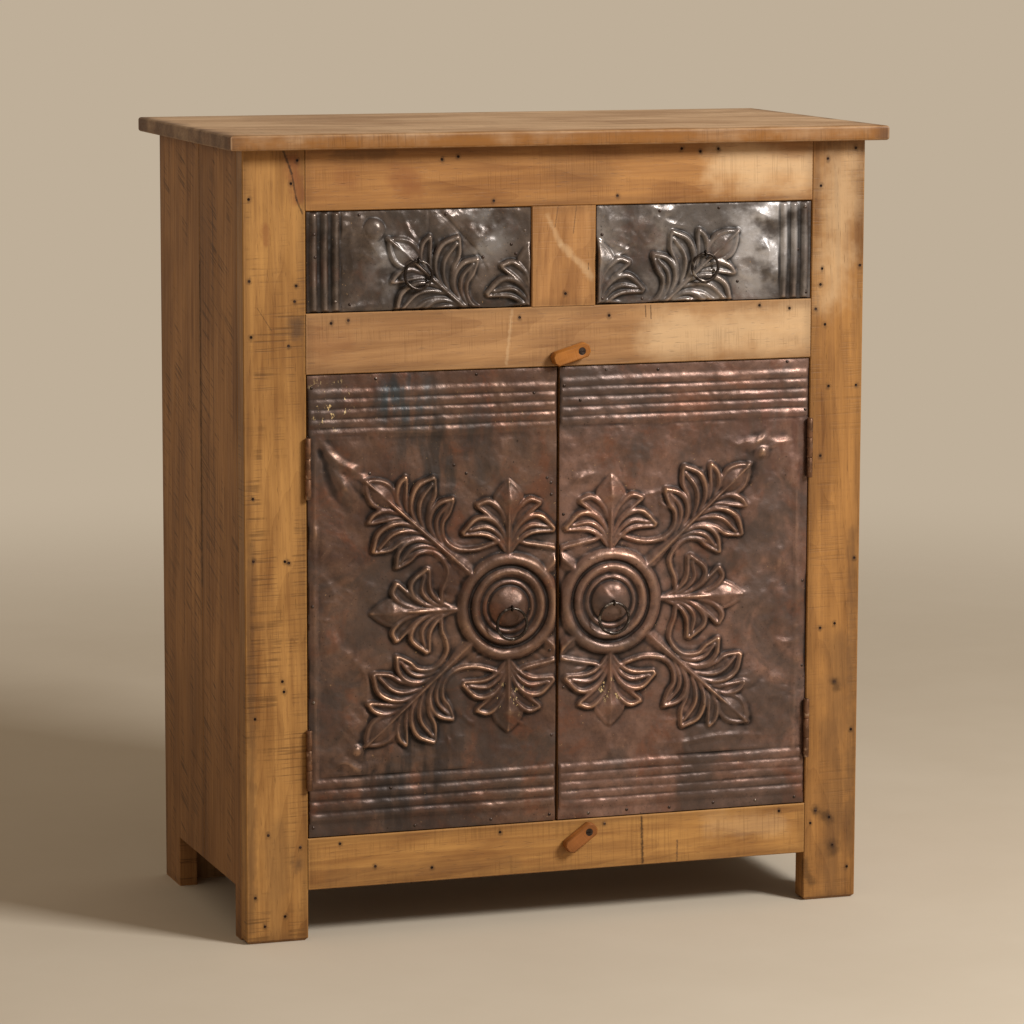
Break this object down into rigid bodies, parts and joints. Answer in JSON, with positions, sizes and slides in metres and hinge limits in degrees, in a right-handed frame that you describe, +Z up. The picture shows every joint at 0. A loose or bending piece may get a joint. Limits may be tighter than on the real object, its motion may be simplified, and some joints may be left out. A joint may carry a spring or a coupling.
{
  "type": "pie safe cupboard",
  "caption": "Plank cupboard with drawers over a pair of doors, all faced in embossed tin with iron ring pulls and wooden turn buttons.",
  "frame": {"origin": "on the floor, under the middle of the top board", "axes": "+Z up; the doors and drawers face -Y; +X to the right as seen from the front"},
  "size_m": [0.858, 0.458, 1],
  "materials": {
    "face_wood": "waxed reclaimed pine, honey brown",
    "top_wood": "waxed plank, worn greyish on its face",
    "side_wood": "dark stained planks with saw marks",
    "back_wood": "dull unwaxed boards",
    "inner_wood": "dry unfinished pine",
    "button_wood": "rubbed orange brown",
    "door_tin": "patinated embossed tin, coppery where worn",
    "drawer_tin": "darker embossed tin, soft gloss",
    "iron": "rusty dark iron"
  },
  "bodies": {
    "case": {"back_boards": "back_wood", "bottom_board": "inner_wood", "bottom_cleats": "inner_wood", "bottom_rail": "face_wood", "button_screws": "iron", "button_washers": "iron", "door_stop_strip": "inner_wood", "drawer_divider": "inner_wood", "drawer_guides": "inner_wood", "drawer_kickers": "inner_wood", "drawer_mullion": "face_wood", "dust_board": "inner_wood", "dust_board_cleats": "inner_wood", "frame_hinge_leaves": "iron", "front_left_stile": "face_wood", "front_right_stile": "face_wood", "hinge_pins": "iron", "left_side_front_board": "side_wood", "left_side_rear_board": "side_wood", "middle_rail": "face_wood", "rear_bottom_rail": "back_wood", "rear_left_stile": "back_wood", "rear_right_stile": "back_wood", "rear_top_rail": "back_wood", "right_side_front_board": "side_wood", "right_side_rear_board": "side_wood", "shelf": "inner_wood", "shelf_cleats": "inner_wood", "top_board": "top_wood", "top_cleats": "inner_wood", "top_rail": "face_wood"},
    "left_door": {"left_door_panel": "inner_wood", "left_door_battens": "inner_wood", "left_door_tin": "door_tin", "left_door_eye": "iron", "left_door_hinge_leaves": "iron"},
    "left_door_ring": {"left_door_ring": "iron"},
    "left_drawer": {"left_drawer_front": "inner_wood", "left_drawer_sides": "inner_wood", "left_drawer_back": "inner_wood", "left_drawer_bottom": "inner_wood", "left_drawer_tin": "drawer_tin", "left_drawer_eye": "iron"},
    "left_drawer_ring": {"left_drawer_ring": "iron"},
    "right_door": {"right_door_panel": "inner_wood", "right_door_battens": "inner_wood", "right_door_tin": "door_tin", "right_door_eye": "iron", "right_door_hinge_leaves": "iron"},
    "right_door_ring": {"right_door_ring": "iron"},
    "right_drawer": {"right_drawer_front": "inner_wood", "right_drawer_sides": "inner_wood", "right_drawer_back": "inner_wood", "right_drawer_bottom": "inner_wood", "right_drawer_tin": "drawer_tin", "right_drawer_eye": "iron"},
    "right_drawer_ring": {"right_drawer_ring": "iron"},
    "upper_turn_button": {"upper_turn_button": "button_wood"},
    "lower_turn_button": {"lower_turn_button": "button_wood"}
  },
  "joints": [
    {"name": "left_door_hinge", "type": "hinge", "parent": "case", "child": "left_door", "pos_m": [-0.3281, -0.2062, 0.4178], "axis": [0, 0, -1], "range_deg": [0, 175]},
    {"name": "left_drawer_slide", "type": "slide", "parent": "case", "child": "left_drawer", "axis": [0, -1, 0], "range_m": [0, 0.28]},
    {"name": "left_door_ring_swing", "type": "hinge", "parent": "left_door", "child": "left_door_ring", "pos_m": [-0.0681, -0.2176, 0.407], "axis": [-1, 0, 0], "range_deg": [0, 170]},
    {"name": "left_drawer_ring_swing", "type": "hinge", "parent": "left_drawer", "child": "left_drawer_ring", "pos_m": [-0.18782, -0.2102, 0.843], "axis": [-1, 0, 0], "range_deg": [0, 170]},
    {"name": "right_door_hinge", "type": "hinge", "parent": "case", "child": "right_door", "pos_m": [0.3356, -0.2062, 0.4178], "axis": [0, 0, 1], "range_deg": [0, 175]},
    {"name": "right_drawer_slide", "type": "slide", "parent": "case", "child": "right_drawer", "axis": [0, -1, 0], "range_m": [0, 0.28]},
    {"name": "right_door_ring_swing", "type": "hinge", "parent": "right_door", "child": "right_door_ring", "pos_m": [0.0675, -0.2176, 0.407], "axis": [-1, 0, 0], "range_deg": [0, 170]},
    {"name": "right_drawer_ring_swing", "type": "hinge", "parent": "right_drawer", "child": "right_drawer_ring", "pos_m": [0.18893, -0.2102, 0.843], "axis": [-1, 0, 0], "range_deg": [0, 170]},
    {"name": "upper_button_turn", "type": "hinge", "parent": "case", "child": "upper_turn_button", "pos_m": [0.02375, -0.2095, 0.7259], "axis": [0, -1, 0], "continuous": true},
    {"name": "lower_button_turn", "type": "hinge", "parent": "case", "child": "lower_turn_button", "pos_m": [0.03675, -0.2095, 0.1145], "axis": [0, -1, 0], "continuous": true}
  ]
}
